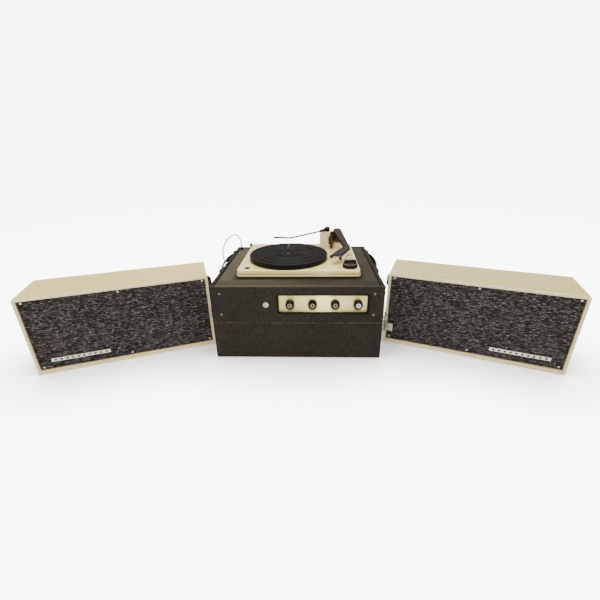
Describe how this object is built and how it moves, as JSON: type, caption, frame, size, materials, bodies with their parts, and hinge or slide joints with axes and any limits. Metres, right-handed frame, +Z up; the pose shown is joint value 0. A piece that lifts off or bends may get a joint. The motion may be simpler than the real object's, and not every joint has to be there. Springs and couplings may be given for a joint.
{
  "type": "portable record player",
  "caption": "Portable stereo record player: cloth-covered cabinet with record changer, and two detachable loudspeaker boxes turned in beside it.",
  "frame": {"origin": "middle of the cabinet's underside, on the surface that the set stands on", "axes": "+X to the right along the row of cabinet and boxes, +Y to the back, +Z up"},
  "size_m": [1.4073, 0.5524, 0.2951],
  "materials": {
    "cabinet_cloth": "dark brown grey woven cover, matt",
    "board_cloth": "olive brown woven cover, matt",
    "speaker_cloth": "cream woven leatherette, matt",
    "grille_cloth": "dark brown grille cloth with light slubs",
    "rubber": "matt",
    "mat_rubber": "ribbed, matt",
    "control_gold": "satin pale gold",
    "zinc_steel": "plated",
    "core_steel": "lacquered laminations",
    "cone_black": "paper cone and pressed basket",
    "valve_glass": "clear",
    "screw_nickel": "nickel plated",
    "lens_pale": "milky faceted lens",
    "back_board": "hardboard",
    "black_plastic": "moulded",
    "strap_leather": "black brown leather strap",
    "cream_enamel": "cream enamel, satin",
    "chrome": "polished",
    "platter_paint": "near-black paint",
    "brown_plastic": "brown moulding",
    "dark_plastic": "charcoal moulding, satin",
    "cream_plastic": "cream moulding",
    "brass": "turned",
    "lead_grey": "pale grey flexible sheath",
    "badge_metal": "pale satin strip, bare",
    "latch_nickel": "worn nickel on brass"
  },
  "bodies": {
    "cabinet": {"lower_case": "cabinet_cloth", "rubber_feet": "rubber", "upper_case": "cabinet_cloth", "front_panel": "cabinet_cloth", "motor_board": "board_cloth", "control_plate": "control_gold", "potentiometers": "zinc_steel", "front_screws": "screw_nickel", "pilot_lens": "lens_pale", "amplifier_chassis": "zinc_steel", "transformers": "core_steel", "valves": "valve_glass", "back_panel": "back_board", "speaker_sockets": "black_plastic", "carry_straps": "strap_leather", "strap_caps": "strap_leather", "changer_plate": "cream_enamel", "suspension_mounts": "rubber", "record_spindle": "chrome", "drive_motor": "core_steel", "tower_housing": "cream_plastic", "tonearm_base": "brown_plastic", "rest_post": "brown_plastic", "transport_screws": "screw_nickel", "wire_clip": "black_plastic", "mains_lead": "lead_grey", "lead_coil": "lead_grey", "mains_plug": "lead_grey", "lead_boot": "black_plastic"},
    "turntable": {"platter": "platter_paint", "platter_mat": "mat_rubber"},
    "idler": {"idler_wheel": "rubber"},
    "pulley": {"motor_pulley": "brass"},
    "gimbal": {"tonearm_gimbal": "zinc_steel"},
    "tonearm": {"tonearm_shell": "dark_plastic", "finger_lift": "chrome", "cartridge": "cream_plastic"},
    "overarm_riser": {"overarm_post": "chrome"},
    "overarm": {"overarm": "dark_plastic"},
    "selector": {"selector_knob": "dark_plastic"},
    "lever": {"speed_lever": "cream_plastic"},
    "knob_1": {"control_knob_1": "dark_plastic"},
    "knob_2": {"control_knob_2": "dark_plastic"},
    "knob_3": {"control_knob_3": "dark_plastic"},
    "knob_4": {"control_knob_4": "dark_plastic"},
    "left_speaker": {"speaker_case_left": "speaker_cloth", "grille_board_left": "grille_cloth", "drivers_left": "cone_black", "badge_bar_left": "badge_metal", "grille_screws_left": "screw_nickel", "speaker_strap_left": "strap_leather", "catch_plate": "latch_nickel"},
    "right_speaker": {"speaker_case_right": "speaker_cloth", "grille_board_right": "grille_cloth", "drivers_right": "cone_black", "badge_bar_right": "badge_metal", "grille_screws_right": "screw_nickel", "speaker_strap_right": "strap_leather", "latch_plate": "latch_nickel"},
    "hasp": {"latch_hasp": "latch_nickel"}
  },
  "joints": [
    {"name": "platter_spin", "type": "hinge", "parent": "cabinet", "child": "turntable", "pos_m": [-0.029, -0.014, 0.236], "axis": [0, 0, 1], "continuous": true},
    {"name": "idler_spin", "type": "hinge", "parent": "cabinet", "child": "idler", "pos_m": [-0.09771, 0.04366, 0.235], "axis": [0, 0, 1], "continuous": true},
    {"name": "pulley_spin", "type": "hinge", "parent": "cabinet", "child": "pulley", "pos_m": [-0.09043, 0.02364, 0.235], "axis": [0, 0, 1], "continuous": true},
    {"name": "tonearm_swing", "type": "hinge", "parent": "cabinet", "child": "gimbal", "pos_m": [0.1175, 0.088, 0.27], "axis": [0, 0, -1], "range_deg": [-8, 34]},
    {"name": "tonearm_lift", "type": "hinge", "parent": "gimbal", "child": "tonearm", "pos_m": [0.1175, 0.088, 0.28], "axis": [-1, 0, 0], "range_deg": [0, 12]},
    {"name": "overarm_lift", "type": "slide", "parent": "cabinet", "child": "overarm_riser", "axis": [0, 0, 1], "range_m": [0, 0.012]},
    {"name": "overarm_swing", "type": "hinge", "parent": "overarm_riser", "child": "overarm", "pos_m": [0.087, 0.096, 0.288], "axis": [0, 0, -1], "range_deg": [0, 60]},
    {"name": "selector_turn", "type": "hinge", "parent": "cabinet", "child": "selector", "pos_m": [0.1395, -0.1, 0.24], "axis": [0, 0, 1], "range_deg": [-45, 45]},
    {"name": "speed_turn", "type": "hinge", "parent": "cabinet", "child": "lever", "pos_m": [0.151, 0.01, 0.231], "axis": [0, 0, 1], "range_deg": [-30, 30]},
    {"name": "knob_1_turn", "type": "hinge", "parent": "cabinet", "child": "knob_1", "pos_m": [-0.0178, -0.18, 0.157], "axis": [0, -1, 0], "range_deg": [-150, 150]},
    {"name": "knob_2_turn", "type": "hinge", "parent": "cabinet", "child": "knob_2", "pos_m": [0.0399, -0.18, 0.157], "axis": [0, -1, 0], "range_deg": [-150, 150]},
    {"name": "knob_3_turn", "type": "hinge", "parent": "cabinet", "child": "knob_3", "pos_m": [0.0976, -0.18, 0.157], "axis": [0, -1, 0], "range_deg": [-150, 150]},
    {"name": "knob_4_turn", "type": "hinge", "parent": "cabinet", "child": "knob_4", "pos_m": [0.1553, -0.18, 0.157], "axis": [0, -1, 0], "range_deg": [-150, 150]},
    {"name": "left_speaker_move", "type": "slide", "parent": "cabinet", "child": "left_speaker", "axis": [-1, 0, 0], "range_m": [0, 0.3]},
    {"name": "right_speaker_move", "type": "slide", "parent": "cabinet", "child": "right_speaker", "axis": [1, 0, 0], "range_m": [0, 0.3]},
    {"name": "hasp_swing", "type": "hinge", "parent": "right_speaker", "child": "hasp", "pos_m": [0.23895, -0.10127, 0.053], "axis": [0, 0, -1], "range_deg": [0, 95]}
  ],
  "couplings": [
    {"joint": "idler_spin", "follows": "platter_spin", "ratio": 6.625},
    {"joint": "pulley_spin", "follows": "platter_spin", "ratio": -21.2}
  ]
}
